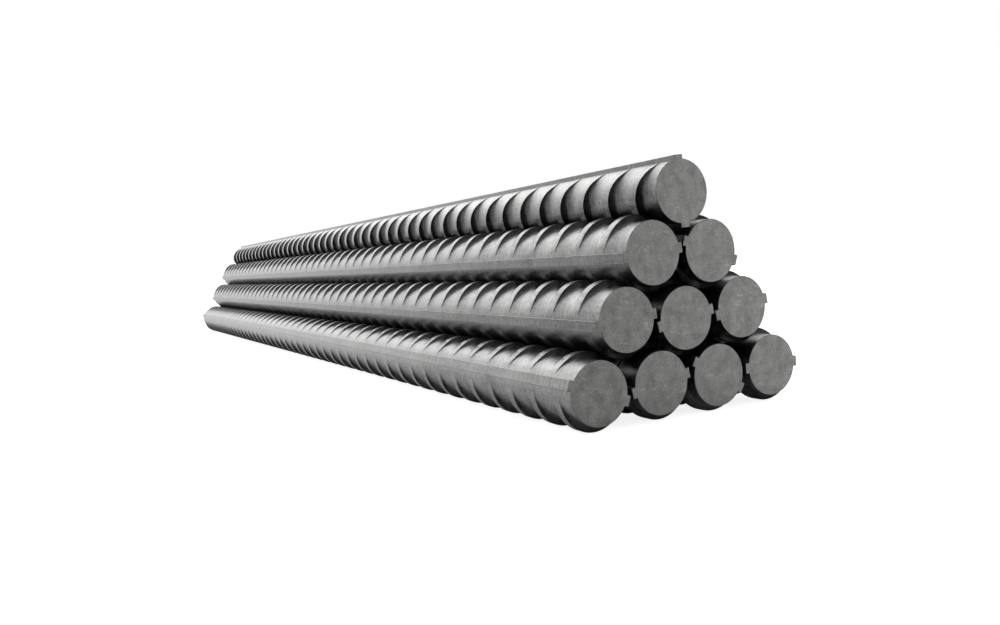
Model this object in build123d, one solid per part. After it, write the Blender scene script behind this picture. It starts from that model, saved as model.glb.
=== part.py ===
from build123d import *
import os
from math import cos, radians, sin, sqrt

# A bundle of straight ribbed reinforcing bars, stacked as a pyramid on a level floor.
# The bars lie along X and their sawn ends are flush. Y runs across the stack, Z is up, and
# the origin is on the floor under the middle of the stack. Sizes are in millimetres.

# One bar
bar_length = 1200.0
core_diameter = 35.0
rib_width = 5.9
rib_height = 2.15
crest_height = 3.7
crescent_half_angle = 56.0
plain_end = 10.0

# Room between the widest neighbours of a row, and between a bar and the one that carries it
side_gap = 0.25
seat_gap = 0.15

# Each row from the floor up, and in it each bar from left to right as seen from the +X end,
# by its turn about its own axis in degrees, starting with its two lengthwise ribs level
bar_turns = {
    "bottom_row": [-20.0, 10.0, -30.0, 0.0],
    "second_row": [5.5, 10.0, 10.0],
    "third_row": [5.5, -20.0],
    "top": [-86.0],
}

# How far each bar lies to the right of its even place in the row, as a share of the core radius
side_shift_shares = {
    "bottom_row": [0, 0.01, 0.01, 0],
    "second_row": [0, -0.03, -0.01],
    "third_row": [-0.02, -0.045],
    "top": [0.075],
}

core_radius = core_diameter / 2
rib_reach = core_radius + rib_height
ribbed_length = bar_length - 2 * plain_end

# The crests of the cross ribs follow a crescent on each side of the bar: an arc through its
# highest point and its two feet on the core, with its centre set off from the bar's axis
crest_reach = core_radius + crest_height
foot_offset = core_radius * cos(radians(crescent_half_angle))
crescent_offset = (crest_reach**2 - core_radius**2) / (2 * (crest_reach - foot_offset))
crescent_radius = crest_reach - crescent_offset


def plain_section():
    """The rolled core with its two lengthwise ribs, as the sawn ends show it."""
    return Circle(core_radius) + Rectangle(2 * rib_reach, rib_width)


def ribbed_section():
    """The plain section with a crescent above and below, as high as the cross ribs' crests."""
    section = plain_section()
    for side in (1, -1):
        section += Pos(0, side * crescent_offset) * Circle(crescent_radius)
    return section


def straight_bar():
    """One bar along Z from its first sawn end, with its lengthwise ribs to each side along X."""
    ribbed_stretch = extrude(ribbed_section(), ribbed_length)
    return extrude(plain_section(), bar_length) + Pos(0, 0, plain_end) * ribbed_stretch


def turned(across, up, turn):
    """A point of a bar's own section after the bar's turn about its axis."""
    angle = radians(turn)
    return across * cos(angle) - up * sin(angle), across * sin(angle) + up * cos(angle)


def bearing_rounds(turn):
    """Rounds (across, up, radius) that a turned bar can bear on: core, crescents, rib corners."""
    rounds = [(0, 0, core_radius)]
    for side in (1, -1):
        rounds.append((*turned(0, side * crescent_offset, turn), crescent_radius))
        for edge in (1, -1):
            rounds.append((*turned(side * rib_reach, edge * rib_width / 2, turn), 0))
    return rounds


def half_width(turn):
    """How far a turned bar reaches to each side of its axis."""
    return max(across + radius for across, up, radius in bearing_rounds(turn))


def height_on_floor(turn):
    """Height of a turned bar's axis when it lies on the floor."""
    return max(radius - up for across, up, radius in bearing_rounds(turn))


def height_on_bars(across, turn, row_below):
    """Height of a turned bar's axis when it is lowered onto the row below."""
    heights = []
    for low_across, low_height, low_turn in row_below:
        for low_side, low_up, low_radius in bearing_rounds(low_turn):
            for side, up, radius in bearing_rounds(turn):
                aside = across + side - low_across - low_side
                apart = low_radius + radius + seat_gap
                if abs(aside) < apart:
                    heights.append(low_height + low_up - up + sqrt(apart**2 - aside**2))
    return max(heights)


def bar_spacing():
    """Distance between the axes of neighbours, with room for the widest bar that has one."""
    rows_of_neighbours = [turns for turns in bar_turns.values() if len(turns) > 1]
    widest = max(half_width(turn) for turns in rows_of_neighbours for turn in turns)
    return 2 * widest + side_gap


def row_places(row_name, row_below):
    """Each bar of a row as (across, height, turn), on the floor or on the row below."""
    turns = bar_turns[row_name]
    first_across = -bar_spacing() * (len(turns) - 1) / 2
    places = []
    for number, (turn, shift_share) in enumerate(zip(turns, side_shift_shares[row_name])):
        across = first_across + number * bar_spacing() + shift_share * core_radius
        height = height_on_bars(across, turn, row_below) if row_below else height_on_floor(turn)
        places.append((across, height, turn))
    return places


def laid(bar, across, height, turn):
    """A bar turned about its axis and laid along X at its place in the stack."""
    return Plane.YZ.location * Pos(across, height, -bar_length / 2) * Rot(0, 0, turn) * bar


def bundle():
    """All bars of the stack by name, from the floor up."""
    bar = straight_bar()
    bars = {}
    row_below = []
    for row_name in bar_turns:
        row = row_places(row_name, row_below)
        for number, place in enumerate(row, start=1):
            name = f"{row_name}_bar_{number}" if len(row) > 1 else f"{row_name}_bar"
            bars[name] = laid(bar, *place)
        row_below = row
    middle = Compound(list(bars.values())).bounding_box().center()
    return {name: Pos(0, -middle.Y, 0) * solid for name, solid in bars.items()}


os.makedirs("parts", exist_ok=True)
for name, solid in bundle().items():
    solid.label = name
    export_step(solid, f"parts/{name}.step")
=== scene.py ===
"""Rebar bundle: ten ribbed steel bars stacked 4-3-2-1 on a pale studio floor."""

import math

import bmesh
import bpy
from mathutils import Matrix, Vector


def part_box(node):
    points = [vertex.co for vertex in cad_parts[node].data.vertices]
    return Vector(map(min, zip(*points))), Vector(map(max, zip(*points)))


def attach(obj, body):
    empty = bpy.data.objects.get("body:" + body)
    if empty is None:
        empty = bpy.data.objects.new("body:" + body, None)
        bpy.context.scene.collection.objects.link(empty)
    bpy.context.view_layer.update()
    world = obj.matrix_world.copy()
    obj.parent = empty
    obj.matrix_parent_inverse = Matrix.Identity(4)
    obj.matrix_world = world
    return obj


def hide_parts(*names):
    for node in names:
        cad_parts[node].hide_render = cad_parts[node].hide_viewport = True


bl_info = {
    "name": "Rebar Bundle",
    "version": (1, 0, 0),
    "blender": (4, 5, 0),
    "location": "3D Viewport > Sidebar > Rebar",
    "description": "Dresses a packed stack of reinforcing bars with cross ribs, steel finishes "
                   "and a studio stage",
    "category": "Object",
}

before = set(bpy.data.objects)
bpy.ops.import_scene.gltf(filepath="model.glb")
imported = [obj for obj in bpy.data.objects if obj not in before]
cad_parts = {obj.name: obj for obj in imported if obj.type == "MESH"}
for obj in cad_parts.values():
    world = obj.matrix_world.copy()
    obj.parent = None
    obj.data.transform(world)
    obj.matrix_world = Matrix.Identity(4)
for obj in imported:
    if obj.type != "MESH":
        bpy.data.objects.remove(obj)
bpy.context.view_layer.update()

MM = 0.001

# How far each bar is turned about its own length, in degrees from +Y towards +Z.
BAR_TURNS = {
    "bottom_row_bar_1": -20.0,
    "bottom_row_bar_2": 10.0,
    "bottom_row_bar_3": -30.0,
    "bottom_row_bar_4": 0.0,
    "second_row_bar_1": 5.5,
    "second_row_bar_2": 10.0,
    "second_row_bar_3": 10.0,
    "third_row_bar_1": 5.5,
    "third_row_bar_2": -20.0,
    "top_bar": 94.0,
}

# The picture's camera: where it stands, and which way its right, down and forward point.
CAMERA_PLACE = (0.96861, -0.30443, 0.09635)
CAMERA_RIGHT = (0.4611, 0.88443, -0.07189)
CAMERA_DOWN = (0.02702, -0.09497, -0.99512)
CAMERA_FORWARD = (-0.88693, 0.45691, -0.06769)
CAMERA_LENS = 30.926
SENSOR_WIDTH = 36.0

# Rings across one pitch of a bar: its two ends in the plain gap, and between them the rings on
# the back and the front of a rib, 1 at the crest and 0 at the foot.
BACK = (0.0, 0.33, 0.66, 1.0)
FRONT = (1.0, 0.75, 0.5, 0.26, 0.0)
STATIONS = [
    ("gap", -1.0), *[("back", t) for t in BACK], *[("front", t) for t in FRONT], ("gap", 1.0)
]
CREST_RING = STATIONS.index(("front", 1.0))

# A cross rib reaches this far round from its middle, low tails included.
TAIL_END = math.radians(75.0)

# How fast a rib's height falls off round the bar, and how fast its foot narrows with its height.
UPPER_TAPER = 1.68
LOWER_TAPER = 1.45
TAIL_TAPER = 3
FOOT_TAPER = 0.6
LEAST_FOOT = 0.1

# The crest's sharp edge lies this far from the rib's line, in mm. Each pitch starts this far back,
# in mm, so that a rib stays within it. The back of a low rib is this many times wider.
CREST_EDGE_SHIFT = 0.7
PITCH_SHIFT = 2.0
LOW_BACK = 2.4

# Painted shade in the hollows beside the cross ribs: how dark it is at the foot of a front and how
# fast it deepens up the rib, how soon it is full on a low rib, and how fast it fades on a low rib's
# back. The flats of the lengthwise ribs get a little painted shade, and the broken rims of the sawn
# ends a painted highlight, paler than the sides.
FOOT_DARK = 0.35
HOLLOW_DEEPENS = 0.6
FRONT_FULL = 2.3
BACK_FADES = 3
SEAM_SHADE = 0.17
RIM_HIGHLIGHT = -0.45

# Painted shade between two bars, in metres: how near a bar above must be, and how much higher. The
# painted shade starts at a distance from its axis and deepens over the next stretch, on the upper
# side only.
NEIGHBOUR_REACH = 0.06
NEIGHBOUR_RISE = 0.01
CREVICE_START = 0.0405
CREVICE_STRETCH = 0.012
UPPER_SIDE = 0.008
CREVICE_SHADE = 0.5

# Distances in mm within which points count as level or as one, the length that is kept from each
# sawn end before it is set level, and the angle from which an edge is drawn crisp.
CLOSE = 1e-3
ON_PLANE = 1e-5
END_ROOM = 0.5
CRISP = math.radians(33.0)

# Brightness of the darkest and palest patches, as shares of a finish's own colour.
ROLLED_PATCHES = (0.62, 1.36)
SAWN_PATCHES = (0.68, 1.3)

# The parts of the background fade in between two values of how far a direction points their way.
# Right and left are as seen from before the near ends.
BACKDROP_FADE = (0.45, 1.0)
BACKDROP_CORE_FADE = (0.86, 1.0)
HORIZON_FADE = (-0.36, -0.03)
AHEAD_FADE = (-0.2, 0.8)
PANEL_FADE = (0.72, 1.0)
RIGHT_FADE = (0.0, 0.4)
RIGHT_DIMMING = 0.25
OVERHEAD_FADE = (0.0, 0.8)
FORWARD_FADE = (0.25, 0.75)
LEFT_FADE = (0.45, 0.95)
NEAR_FADE = (0.82, 1.0)

# The floor, in metres: half its width, the distances between which its lift becomes white, and
# those beside and beyond the stack between which it clears from the steel's reflections.
FLOOR_HALF = 30.0
FLOOR_FADE = (0.7, 1.6)
BESIDE_STACK = (0.062, 0.1)
BEYOND_ENDS = (0.6, 0.63)


def millimetres(name, description, default):
    return bpy.props.FloatProperty(
        name=name, description=description, default=default, min=0.0, soft_max=2000.0
    )


def colour(name, description, default):
    return bpy.props.FloatVectorProperty(
        name=name, description=description, default=default, subtype="COLOR", size=3,
        min=0.0, max=1.0,
    )


def share(name, description, default, top=1.0):
    return bpy.props.FloatProperty(
        name=name, description=description, default=default, min=0.0, max=top,
        subtype="FACTOR",
    )


class BarSizes(bpy.types.PropertyGroup):
    """Sizes of one ribbed bar, in millimetres and degrees."""

    length: millimetres("Length", "Length of a bar, in mm", 1200.0)
    core_radius: millimetres("Core radius", "Radius of the round core, in mm", 17.5)
    seam_width: millimetres("Seam width", "Width of the two lengthwise ribs, in mm", 5.9)
    seam_reach: millimetres(
        "Seam reach", "From the bar's axis to the flat of a lengthwise rib, in mm", 19.65
    )
    seam_chamfer: millimetres(
        "Seam chamfer", "Width of the worn edge of a lengthwise rib, in mm", 0.12
    )
    rib_pitch: millimetres("Rib pitch", "Distance between cross ribs, in mm", 26.0)
    rib_height: millimetres("Rib height", "Height of a cross rib at its middle, in mm", 3.7)
    flank_width: millimetres("Flank width", "Width of a cross rib's hollow flank, in mm", 3.8)
    tail_height: millimetres("Tail height", "Height of the low tails of a cross rib, in mm", 1.1)
    crest_width: millimetres("Crest width", "Width of a cross rib's flat crest, in mm", 5.6)
    back_width: millimetres("Back width", "Width of a cross rib's steeper back, in mm", 2.6)
    upper_half_span: bpy.props.FloatProperty(
        name="Upper half span",
        description="Angle from a rib's middle to its end, on one side",
        default=math.radians(72.0), subtype="ANGLE",
    )
    lower_half_span: bpy.props.FloatProperty(
        name="Lower half span",
        description="Angle from a rib's middle to its end, on the other side",
        default=math.radians(65.0), subtype="ANGLE",
    )
    rib_lead: millimetres(
        "Rib lead", "How far a rib runs along the bar in each radian round it, in mm", 4.96
    )
    first_upper: millimetres(
        "First upper rib", "From the bar's middle to the first rib on one side, in mm", 585.7
    )
    first_lower: millimetres(
        "First lower rib", "From the bar's middle to the first rib on the other side, in mm", 592.8
    )
    rim_chamfer: millimetres("Rim chamfer", "Width of the broken edge round a sawn end, in mm", 0.3)
    sides: bpy.props.IntProperty(
        name="Sides", description="Divisions round the core", default=84, min=24, max=96
    )


class SteelLook(bpy.types.PropertyGroup):
    """Colours and finish of the rolled sides and the sawn ends."""

    rolled: colour("Rolled side", "Colour of the rolled sides", (0.37, 0.37, 0.366))
    rolled_roughness: share("Side roughness", "Roughness of the rolled sides", 0.33)
    # Strength of the painted shade in the hollows, between bars and on the lengthwise ribs' flats,
    # and of the painted highlight on the broken rims of the sawn ends.
    painted_light_strength: share("Dark hollows", "How much darker the hollows beside the ribs are", 0.8)
    sawn: colour("Sawn end", "Colour of the sawn ends", (0.256, 0.254, 0.248))
    sawn_roughness: share("End roughness", "Roughness of the sawn ends", 0.5)


class StageLook(bpy.types.PropertyGroup):
    """Floor, background and lamps."""

    floor: colour("Floor", "Colour of the floor", (0.86, 0.86, 0.86))
    far_light: bpy.props.FloatProperty(
        name="Far light", description="Power of the large soft lamp beyond the far ends",
        default=8.0, min=0.0, subtype="POWER", unit="POWER",
    )
    front_light: bpy.props.FloatProperty(
        name="Front light", description="Power of the soft lamp that faces the sawn ends",
        default=9.0, min=0.0, subtype="POWER", unit="POWER",
    )
    floor_lift: share("Floor lift", "How far the floor is lifted in the picture", 0.84)
    surround: share("Surround", "Brightness of the surroundings", 0.03)
    overhead: share("Overhead", "Added brightness of the surroundings overhead", 0.24)
    side_glow: share("Side glow", "Added brightness beside the stack, on the side in view", 0.5)
    near_glow: share("Near glow", "Added brightness straight before the near ends", 0.2)
    low_side: share("Low side", "Brightness below the horizon, beyond the far ends", 0.5)
    backdrop: share("Backdrop", "Brightness of the wide backdrop beyond the far ends", 1.47, 4.0)
    backdrop_core: share("Backdrop core", "Added brightness at its middle", 0.4, 4.0)
    backdrop_way: bpy.props.FloatVectorProperty(
        name="Backdrop direction", description="From the stack towards the backdrop's middle",
        default=(-1.0, 0.2, 0.35), size=3,
    )
    panel: share("Panel", "Brightness of the pale panel beside the near ends", 2.0, 4.0)
    panel_way: bpy.props.FloatVectorProperty(
        name="Panel direction", description="From the stack towards the panel's middle",
        default=(0.35, 0.93, -0.2), size=3,
    )


class Wire:
    """One value, colour or vector of a shader. Operators on values add Math nodes."""

    def __init__(self, tree, socket=None):
        self.tree, self.socket = tree, socket

    def node(self, kind, settings=None, inputs=None, output=0):
        """A new node: its settings are set first, then the values or links of its sockets."""
        made = self.tree.nodes.new(kind)
        for name, value in (settings or {}).items():
            setattr(made, name, value)
        for name, value in (inputs or {}).items():
            if isinstance(value, Wire):
                self.tree.links.new(value.socket, made.inputs[name])
            else:
                made.inputs[name].default_value = value
        return Wire(self.tree, made.outputs[output] if made.outputs else None)

    def maths(self, operation, *values):
        return self.node("ShaderNodeMath", {"operation": operation}, dict(enumerate(values)))

    def __add__(self, other):
        return self.maths("ADD", self, other)

    def __radd__(self, other):
        return self.maths("ADD", other, self)

    def __sub__(self, other):
        return self.maths("SUBTRACT", self, other)

    def __rsub__(self, other):
        return self.maths("SUBTRACT", other, self)

    def __mul__(self, other):
        return self.maths("MULTIPLY", self, other)

    def __rmul__(self, other):
        return self.maths("MULTIPLY", other, self)

    def size(self):
        """This value without its sign."""
        return self.maths("ABSOLUTE", self)

    def scaled(self, amount):
        """This colour or vector, multiplied by a value."""
        return self.node("ShaderNodeVectorMath", {"operation": "SCALE"}, {0: self, "Scale": amount})

    def along(self, way):
        """How far this vector reaches along a direction."""
        return self.node(
            "ShaderNodeVectorMath", {"operation": "DOT_PRODUCT"},
            {0: self, 1: tuple(Vector(way).normalized())}, output=1,
        )

    def part(self, axis):
        """One component of this vector."""
        return self.node("ShaderNodeSeparateXYZ", {}, {0: self}, output=axis)

    def clamped(self, low, high):
        """0 where this value is at or below low, 1 at or above high, and smooth between."""
        return self.node(
            "ShaderNodeMapRange", {"interpolation_type": "SMOOTHSTEP", "clamp": True},
            {"Value": self, "From Min": low, "From Max": high},
        )

    def stretched(self, scale, turn=(0.0, 0.0, 0.0)):
        """These coordinates, scaled along each axis and turned."""
        return self.node(
            "ShaderNodeMapping", {"vector_type": "POINT"},
            {"Vector": self, "Scale": scale, "Rotation": turn},
        )

    def noise(self, scale, detail, roughness):
        """Soft noise at these coordinates, about 0 to 1."""
        return self.node(
            "ShaderNodeTexNoise", {"noise_dimensions": "3D"},
            {"Vector": self, "Scale": scale, "Detail": detail, "Roughness": roughness},
        )


def mixed(amount, first, second):
    """first where amount is 0 and second where it is 1, as a colour."""
    return amount.node(
        "ShaderNodeMix", {"data_type": "RGBA", "blend_type": "MIX"},
        {0: amount, 6: first, 7: second}, output=2,
    )


def tinted(rgb, amount):
    return (*[channel * amount for channel in rgb], 1.0)


def new_material(name):
    material = bpy.data.materials.new(name)
    material.use_nodes = True
    material.node_tree.nodes.clear()
    return material, Wire(material.node_tree)


def steel_surface(start, colours, roughness, height, metallic, bump):
    relief = start.node(
        "ShaderNodeBump", {}, {"Strength": bump, "Distance": 0.0004, "Height": height}
    )
    steel = start.node(
        "ShaderNodeBsdfPrincipled", {},
        {"Base Color": colours, "Roughness": roughness, "Metallic": metallic,
         "Normal": relief},
    )
    start.node("ShaderNodeOutputMaterial", {}, {"Surface": steel})


def rolled_steel(look):
    """Rolled steel: fine marks that run round the bar, faint clouds, and painted shade in the
    hollows beside the cross ribs, between bars and on the lengthwise ribs' flats, with a painted
    highlight on the broken rims of the sawn ends."""
    material, start = new_material("rolled_steel")
    place = start.node("ShaderNodeTexCoord", {}, {}, output=3)
    hollow = start.node("ShaderNodeAttribute", {"attribute_name": "hollow"}, {}, output=2)
    cloud = place.noise(scale=45.0, detail=4.0, roughness=0.6)
    grain = place.noise(scale=650.0, detail=4.0, roughness=0.75)
    round_marks = place.stretched((1.0, 0.1, 0.1)).noise(scale=700.0, detail=4.0, roughness=0.7)
    long_marks = place.stretched((0.06, 1.0, 1.0)).noise(scale=450.0, detail=3.0, roughness=0.6)
    tone = cloud * 0.22 + grain * 0.4 + round_marks * 0.25 + long_marks * 0.13
    dark, pale = (tinted(look.rolled, amount) for amount in ROLLED_PATCHES)
    patches = mixed(tone.clamped(0.38, 0.62), dark, pale)
    # The hollow attribute paints shade into the colour beside the cross ribs, between bars and on
    # the lengthwise ribs' flats, and paints a highlight on the broken rims of the sawn ends.
    colours = patches.scaled(1.0 - hollow * look.painted_light_strength)
    roughness = look.rolled_roughness - 0.08 + tone.clamped(0.35, 0.65) * 0.16
    height = grain * 0.5 + round_marks * 0.5
    steel_surface(start, colours, roughness, height, metallic=1.0, bump=0.45)
    return material


def scratches(place, turn, scale):
    """Short thin lines, 1 on a line and 0 elsewhere."""
    turned = place.stretched((1.0, 0.22, 1.0), (turn, 0.0, 0.0))
    drift = turned.noise(scale, detail=1.0, roughness=0.4)
    here = place.noise(scale * 0.55, detail=1.0, roughness=0.5).clamped(0.53, 0.6)
    return (1.0 - (drift - 0.5).size().clamped(0.004, 0.016)) * here


def sawn_steel(look):
    """The sawn end: dull, finely mottled, with a few faint pale scratches."""
    material, start = new_material("sawn_steel")
    place = start.node("ShaderNodeTexCoord", {}, {}, output=3)
    cloud = place.noise(scale=130.0, detail=5.0, roughness=0.65)
    grain = place.noise(scale=1000.0, detail=4.0, roughness=0.7)
    tone = cloud * 0.55 + grain * 0.45
    dark, pale = (tinted(look.sawn, amount) for amount in SAWN_PATCHES)
    mottled = mixed(tone.clamped(0.36, 0.64), dark, pale)
    lines = scratches(place, turn=0.6, scale=210.0) + scratches(place, turn=2.2, scale=260.0)
    colours = mottled.scaled(1.0 + lines * 0.3)
    roughness = look.sawn_roughness - 0.08 + cloud * 0.16
    steel_surface(start, colours, roughness, grain, metallic=0.55, bump=0.35)
    return material


def rib_height(sizes, angle):
    """Height of a cross rib at an angle round the bar: a crescent, with low tails on the upper
    side."""
    away = abs(abs(angle) - math.pi / 2)
    if angle > 0:
        part = min(away / sizes.upper_half_span, 1.0)
        crescent = sizes.rib_height * math.cos(part * math.pi / 2) ** UPPER_TAPER
        return max(crescent, sizes.tail_height * (1.0 - min(away / TAIL_END, 1.0) ** TAIL_TAPER))
    part = min(away / sizes.lower_half_span, 1.0)
    return sizes.rib_height * math.cos(part * math.pi / 2) ** LOWER_TAPER


def rib_fullness(sizes, height):
    """How wide the foot of a rib is for its height, 1 at the middle of the crescent."""
    return max((height / sizes.rib_height) ** FOOT_TAPER, LEAST_FOOT)


def rib_line(sizes, angle):
    """Where the first rib's line lies at an angle round the bar, in mm from the bar's middle.

    The ribs on the two sides slant opposite ways. Across the lengthwise ribs, where no cross rib
    reaches, the rings run straight from the one side's line to the other's.
    """
    top, bottom = math.pi / 2, 1.5 * math.pi

    def upper(at):
        return sizes.first_upper - sizes.rib_lead * (at - top)

    def lower(at):
        return sizes.first_lower + sizes.rib_lead * (at - bottom)

    angle %= 2 * math.pi
    if abs(angle - top) <= TAIL_END:
        return upper(angle)
    if abs(angle - bottom) <= TAIL_END:
        return lower(angle)
    if top < angle < bottom:
        past = angle - top - TAIL_END
        first, last = upper(top + TAIL_END), lower(bottom - TAIL_END)
    else:
        past = (angle - bottom - TAIL_END) % (2 * math.pi)
        first, last = lower(bottom + TAIL_END), upper(top - TAIL_END)
    across = past / (math.pi - 2 * TAIL_END)
    return first * (1 - across) + last * across


def raise_rib(sizes, vert):
    """Moves a point of the plain sleeve onto the ribbed surface. Its x counts stations."""
    station, y, z = vert.co
    kind, t = STATIONS[round(station)]
    angle = math.atan2(z, y)
    radius = math.hypot(y, z)
    height = rib_height(sizes, angle)
    fullness = rib_fullness(sizes, height)
    edge = CREST_EDGE_SHIFT * fullness
    lift = height * t * t
    if kind == "gap":
        along, lift = t * sizes.rib_pitch / 2 - PITCH_SHIFT, 0.0
    elif kind == "front":
        along = edge + (1.0 - t) * sizes.flank_width * fullness
    else:
        back = sizes.back_width * (LOW_BACK - (LOW_BACK - 1.0) * fullness)
        along = edge - sizes.crest_width - (1.0 - t) * back
    grown = (radius + lift) / radius
    vert.co = Vector((rib_line(sizes, angle) + along, y * grown, z * grown))


def flank_painted_shade(sizes, kind, t, angle):
    """How much painted shade lies at a station of a rib, from 0 to 1."""
    fullness = rib_fullness(sizes, rib_height(sizes, angle))
    deepening = t**HOLLOW_DEEPENS
    if kind == "front":
        return (FOOT_DARK + (1.0 - FOOT_DARK) * deepening) * min(FRONT_FULL * fullness, 1.0)
    return deepening * fullness**BACK_FADES


def verts_of(made):
    return [part for part in made if isinstance(part, bmesh.types.BMVert)]


def plain_sleeve(sizes):
    """The round core for one pitch, as a tube whose rings are its stations. Its x counts them."""
    bm = bmesh.new()
    quarter = Matrix.Rotation(math.pi / 2, 4, "Y")
    bmesh.ops.create_circle(bm, segments=sizes.sides, radius=sizes.core_radius, matrix=quarter)
    half_seam = sizes.seam_width / 2
    for level in (-half_seam, half_seam):
        bmesh.ops.bisect_plane(
            bm, geom=bm.verts[:] + bm.edges[:], dist=ON_PLANE,
            plane_co=(0, 0, level), plane_no=(0, 0, 1),
        )
    inner = [v for v in bm.verts if abs(v.co.z) < half_seam - CLOSE]
    bmesh.ops.dissolve_verts(bm, verts=inner)
    for v in bm.verts:
        v.co.x = 0.0
    ring = bm.edges[:]
    for _ in STATIONS[1:]:
        made = bmesh.ops.extrude_edge_only(bm, edges=ring)["geom"]
        ring = [part for part in made if isinstance(part, bmesh.types.BMEdge)]
        bmesh.ops.translate(bm, verts=verts_of(made), vec=(1, 0, 0))
    return bm


def mark_sleeve(bm, sizes):
    """Marks the crest's sharp edge, and the painted shade in the hollows on both sides of it."""
    crest_edge = bm.edges.layers.int.new("crest_edge")
    for e in bm.edges:
        e[crest_edge] = all(round(v.co.x) == CREST_RING for v in e.verts)
    hollow = bm.loops.layers.float.new("hollow")
    for f in bm.faces:
        stations = [STATIONS[round(v.co.x)] for v in f.verts]
        on_crest = min(t for kind, t in stations) == 1.0
        if on_crest:
            continue
        for loop, (kind, t) in zip(f.loops, stations):
            if kind != "gap":
                angle = math.atan2(loop.vert.co.z, loop.vert.co.y)
                loop[hollow] = flank_painted_shade(sizes, kind, t, angle)


def repeat_sleeve(bm, sizes):
    """Repeats the ribbed sleeve along the bar, and sets its end rings level for the sawn faces."""
    count = round(sizes.length / sizes.rib_pitch)
    bmesh.ops.spin(
        bm, geom=bm.verts[:] + bm.edges[:] + bm.faces[:], cent=(0, 0, 0), axis=(1, 0, 0),
        dvec=(-sizes.rib_pitch, 0, 0), angle=0.0, steps=count - 1, use_duplicate=True,
    )
    bmesh.ops.remove_doubles(bm, verts=bm.verts, dist=CLOSE)
    half = sizes.length / 2
    inmost = half - END_ROOM
    for v in bm.verts:
        v.co.x = min(max(v.co.x, -inmost), inmost)
    for edge in [e for e in bm.edges if e.is_boundary]:
        for v in edge.verts:
            v.co.x = math.copysign(half, v.co.x)


def draw_out_seams(bm, sizes):
    """Draws the two lengthwise ribs out of the narrow strips on either side."""
    hollow = bm.loops.layers.float["hollow"]
    half_seam, reach = sizes.seam_width / 2, sizes.seam_reach
    for side in (-1, 1):
        strip = [
            f for f in bm.faces
            if side * f.calc_center_median().y > 0
            and all(abs(v.co.z) < half_seam + CLOSE for v in f.verts)
        ]
        made = bmesh.ops.extrude_face_region(bm, geom=strip)["geom"]
        bmesh.ops.delete(bm, geom=strip, context="FACES_ONLY")
        for v in verts_of(made):
            v.co.y = side * reach
        # The flats of the lengthwise ribs get a little painted shade.
        for f in [part for part in made if isinstance(part, bmesh.types.BMFace)]:
            for loop in f.loops:
                loop[hollow] = SEAM_SHADE
    bmesh.ops.recalc_face_normals(bm, faces=bm.faces)

    def on_corner(v):
        return abs(abs(v.co.y) - reach) < CLOSE and abs(abs(v.co.z) - half_seam) < CLOSE

    corners = [
        e for e in bm.edges
        if all(on_corner(v) for v in e.verts) and abs(e.verts[0].co.z - e.verts[1].co.z) < CLOSE
    ]
    bmesh.ops.bevel(
        bm, geom=corners, offset=sizes.seam_chamfer, offset_type="OFFSET", segments=1,
        profile=0.5, affect="EDGES", material=-1, clamp_overlap=False,
    )


def close_ends(bm, sizes):
    """Closes each sawn end with one face, and breaks its rim."""
    hollow = bm.loops.layers.float["hollow"]
    half = sizes.length / 2

    def end_faces():
        return [f for f in bm.faces if all(abs(abs(v.co.x) - half) < CLOSE for v in f.verts)]

    bmesh.ops.holes_fill(bm, edges=[e for e in bm.edges if e.is_boundary], sides=0)
    caps = end_faces()
    inside = {e for cap in caps for e in cap.edges if all(f in caps for f in e.link_faces)}
    bmesh.ops.dissolve_edges(bm, edges=list(inside), use_verts=False)
    caps = end_faces()
    for cap in caps:
        cap.material_index = 1
    rims = {e for cap in caps for e in cap.edges}
    made = bmesh.ops.bevel(
        bm, geom=list(rims), offset=sizes.rim_chamfer, offset_type="OFFSET", segments=1,
        profile=0.5, affect="EDGES", material=0, clamp_overlap=True,
    )
    # The broken rim's faces get a painted highlight, paler than the sides.
    for f in made["faces"]:
        for loop in f.loops:
            loop[hollow] = RIM_HIGHLIGHT
    bmesh.ops.remove_doubles(bm, verts=bm.verts, dist=CLOSE)
    bmesh.ops.recalc_face_normals(bm, faces=bm.faces)


def make_bar_mesh(sizes):
    """One ribbed bar along X about the origin, in metres."""
    bm = plain_sleeve(sizes)
    mark_sleeve(bm, sizes)
    for v in bm.verts:
        raise_rib(sizes, v)
    repeat_sleeve(bm, sizes)
    draw_out_seams(bm, sizes)
    close_ends(bm, sizes)
    crest_edge = bm.edges.layers.int["crest_edge"]
    for f in bm.faces:
        f.smooth = True
    for e in bm.edges:
        e.smooth = e.calc_face_angle(0.0) < CRISP and not e[crest_edge]
    bmesh.ops.scale(bm, verts=bm.verts, vec=(MM, MM, MM))
    mesh = bpy.data.meshes.new("ribbed_bar")
    bm.to_mesh(mesh)
    bm.free()
    return mesh


def paint_crevice_shade(mesh, middle, others):
    """Adds painted shade on the upper side of a bar where it lies close under another."""
    over = [
        other for other in others
        if other.z > middle.z + NEIGHBOUR_RISE and (other - middle).length < NEIGHBOUR_REACH
    ]
    if not over:
        return
    depths = []
    for vertex in mesh.vertices:
        y, z = vertex.co.y, vertex.co.z
        distance = min(math.hypot(y - other.y, z - other.z) for other in over)
        depth = min(max((CREVICE_START - distance) / CREVICE_STRETCH, 0.0), 1.0)
        upwards = min(max((z - middle.z) / UPPER_SIDE, 0.0), 1.0)
        depths.append(CREVICE_SHADE * depth * upwards)
    for corner, loop in zip(mesh.attributes["hollow"].data, mesh.loops):
        corner.value += (1.0 - corner.value) * depths[loop.vertex_index]


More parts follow.
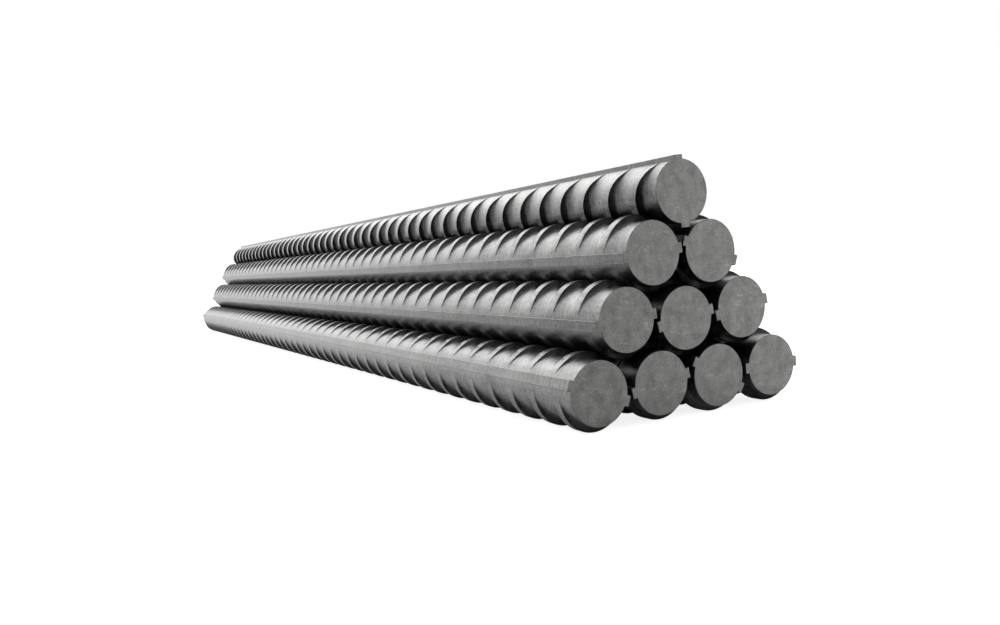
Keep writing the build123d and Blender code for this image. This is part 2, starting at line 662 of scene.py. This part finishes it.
class REBAR_OT_bars(bpy.types.Operator):
    """Replace each plain bar of the frame with a ribbed steel bar"""

    bl_idname = "rebar.bars"
    bl_label = "Ribbed Bars"

    def execute(self, context):
        settings = context.scene
        pattern = make_bar_mesh(settings.rebar_sizes)
        finishes = (rolled_steel(settings.rebar_steel), sawn_steel(settings.rebar_steel))
        middles = {node: (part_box(node)[0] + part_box(node)[1]) / 2 for node in BAR_TURNS}
        for node, turn in BAR_TURNS.items():
            mesh = pattern.copy()
            mesh.name = node + "_ribbed"
            mesh.transform(
                Matrix.Translation(middles[node])
                @ Matrix.Rotation(math.radians(turn), 4, "X")
            )
            paint_crevice_shade(mesh, middles[node], middles.values())
            for finish in finishes:
                mesh.materials.append(finish)
            bar = bpy.data.objects.new(node + "_ribbed", mesh)
            context.collection.objects.link(bar)
            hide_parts(node)
            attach(bar, "root")
        bpy.data.meshes.remove(pattern)
        return {"FINISHED"}


def background_world(look):
    """White where the camera looks past the stage. For the lighting, a wide pale backdrop beyond
    the far ends fades out to a dim surround, and a pale panel stands beside the near ends."""
    world = bpy.data.worlds.new("studio")
    world.use_nodes = True
    world.node_tree.nodes.clear()
    start = Wire(world.node_tree)
    camera_ray = start.node("ShaderNodeLightPath", {}, {}, output=0)
    way = start.node("ShaderNodeTexCoord", {}, {}, output=3)
    forward, right, up = (way.part(axis) for axis in range(3))
    towards = way.along(look.backdrop_way)
    backdrop = (
        towards.clamped(*BACKDROP_FADE) * look.backdrop
        + towards.clamped(*BACKDROP_CORE_FADE) * look.backdrop_core
    )
    above = up.clamped(*HORIZON_FADE)
    ahead = (0.0 - forward).clamped(*AHEAD_FADE)
    panel = way.along(look.panel_way).clamped(*PANEL_FADE) * look.panel
    aside = 1.0 - right.clamped(*RIGHT_FADE) * RIGHT_DIMMING
    overhead = up.clamped(*OVERHEAD_FADE) * look.overhead
    low_side = (1.0 - above) * ahead * look.low_side
    beside = (1.0 - forward.clamped(*FORWARD_FADE)) * (0.0 - right).clamped(*LEFT_FADE)
    glow = beside * look.side_glow + forward.clamped(*NEAR_FADE) * look.near_glow
    strength = look.surround + overhead + panel + above * (backdrop * aside + glow) + low_side
    dim = start.node("ShaderNodeBackground", {}, {"Color": (1, 1, 1, 1), "Strength": strength})
    white = start.node("ShaderNodeBackground", {}, {"Color": (1, 1, 1, 1), "Strength": 1.0})
    both = start.node("ShaderNodeMixShader", {}, {0: camera_ray, 1: dim, 2: white})
    start.node("ShaderNodeOutputWorld", {}, {"Surface": both})
    return world


def floor_finish(look):
    """A matt pale floor that still takes the shadow. In the picture it is lifted to white,
    and the steel shows the background through it, but not close under the bars."""
    material, start = new_material("pale_floor")
    place = start.node("ShaderNodeTexCoord", {}, {}, output=3)
    flat = place.stretched((1.0, 1.0, 0.0))
    outwards = flat.node("ShaderNodeVectorMath", {"operation": "LENGTH"}, {0: flat}, output=1)
    camera_ray = start.node("ShaderNodeLightPath", {}, {}, output=0)
    glossy_ray = start.node("ShaderNodeLightPath", {}, {}, output=3)
    lift, white, none = (
        start.node("ShaderNodeEmission", {}, {"Color": (1, 1, 1, 1), "Strength": strength})
        for strength in (look.floor_lift, 1.0, 0.0)
    )
    lifted = start.node(
        "ShaderNodeMixShader", {}, {0: outwards.clamped(*FLOOR_FADE), 1: lift, 2: white}
    )
    seen = start.node("ShaderNodeMixShader", {}, {0: camera_ray, 1: none, 2: lifted})
    matt = start.node(
        "ShaderNodeBsdfDiffuse", {}, {"Color": (*look.floor, 1.0), "Roughness": 0.0}
    )
    shown = start.node("ShaderNodeAddShader", {}, {0: matt, 1: seen})
    clear = start.node("ShaderNodeBsdfTransparent", {}, {"Color": (1, 1, 1, 1)})
    beside = place.part(1).size().clamped(*BESIDE_STACK)
    beyond = place.part(0).size().clamped(*BEYOND_ENDS)
    open_floor = glossy_ray * (beside + beyond)
    both = start.node("ShaderNodeMixShader", {}, {0: open_floor, 1: shown, 2: clear})
    start.node("ShaderNodeOutputMaterial", {}, {"Surface": both})
    return material


def soft_lamp(name, place, aim, width, height, power):
    """A soft oblong lamp that faces a point."""
    lamp = bpy.data.lights.new(name, "AREA")
    lamp.shape, lamp.size, lamp.size_y, lamp.energy = "RECTANGLE", width, height, power
    holder = bpy.data.objects.new(name, lamp)
    holder.location = place
    holder.rotation_mode = "QUATERNION"
    holder.rotation_quaternion = (Vector(aim) - Vector(place)).to_track_quat("-Z", "Y")
    bpy.context.collection.objects.link(holder)


class REBAR_OT_stage(bpy.types.Operator):
    """Add the floor, the background, the lamps and the camera"""

    bl_idname = "rebar.stage"
    bl_label = "Studio Stage"

    def execute(self, context):
        look = context.scene.rebar_stage
        bm = bmesh.new()
        bmesh.ops.create_grid(bm, x_segments=1, y_segments=1, size=FLOOR_HALF)
        mesh = bpy.data.meshes.new("floor")
        bm.to_mesh(mesh)
        bm.free()
        mesh.materials.append(floor_finish(look))
        floor = bpy.data.objects.new("floor", mesh)
        context.collection.objects.link(floor)

        soft_lamp(
            "far_lamp", place=(-2.9, 0.7, 2.3), aim=(0.0, 0.0, 0.1),
            width=2.6, height=1.8, power=look.far_light,
        )
        soft_lamp(
            "front_lamp", place=(2.0, 2.0, 0.8), aim=(0.6, 0.0, 0.06),
            width=1.6, height=1.2, power=look.front_light,
        )
        context.scene.world = background_world(look)

        data = bpy.data.cameras.new("camera")
        data.sensor_fit, data.sensor_width, data.lens = "HORIZONTAL", SENSOR_WIDTH, CAMERA_LENS
        data.clip_start, data.clip_end = 0.01, 100.0
        camera = bpy.data.objects.new("camera", data)
        turn = Matrix((CAMERA_RIGHT, -Vector(CAMERA_DOWN), -Vector(CAMERA_FORWARD))).transposed()
        camera.matrix_world = Matrix.Translation(CAMERA_PLACE) @ turn.to_4x4()
        context.collection.objects.link(camera)
        context.scene.camera = camera
        context.scene.view_settings.view_transform = "Standard"
        return {"FINISHED"}


class REBAR_PT_panel(bpy.types.Panel):
    """Sizes, finishes and steps of the rebar bundle"""

    bl_idname = "REBAR_PT_panel"
    bl_label = "Rebar Bundle"
    bl_space_type = "VIEW_3D"
    bl_region_type = "UI"
    bl_category = "Rebar"

    def draw(self, context):
        for step in (REBAR_OT_bars, REBAR_OT_stage):
            self.layout.operator(step.bl_idname)
        for group_name, group in GROUPS.items():
            box = self.layout.box()
            for name in group.__annotations__:
                box.prop(getattr(context.scene, group_name), name)


GROUPS = {"rebar_sizes": BarSizes, "rebar_steel": SteelLook, "rebar_stage": StageLook}
CLASSES = (BarSizes, SteelLook, StageLook, REBAR_OT_bars, REBAR_OT_stage, REBAR_PT_panel)


def register():
    for item in CLASSES:
        bpy.utils.register_class(item)
    for name, group in GROUPS.items():
        setattr(bpy.types.Scene, name, bpy.props.PointerProperty(type=group))


def unregister():
    for name in GROUPS:
        delattr(bpy.types.Scene, name)
    for item in reversed(CLASSES):
        bpy.utils.unregister_class(item)


def main():
    register()
    bpy.ops.rebar.bars()
    bpy.ops.rebar.stage()


if __name__ == "__main__":
    main()
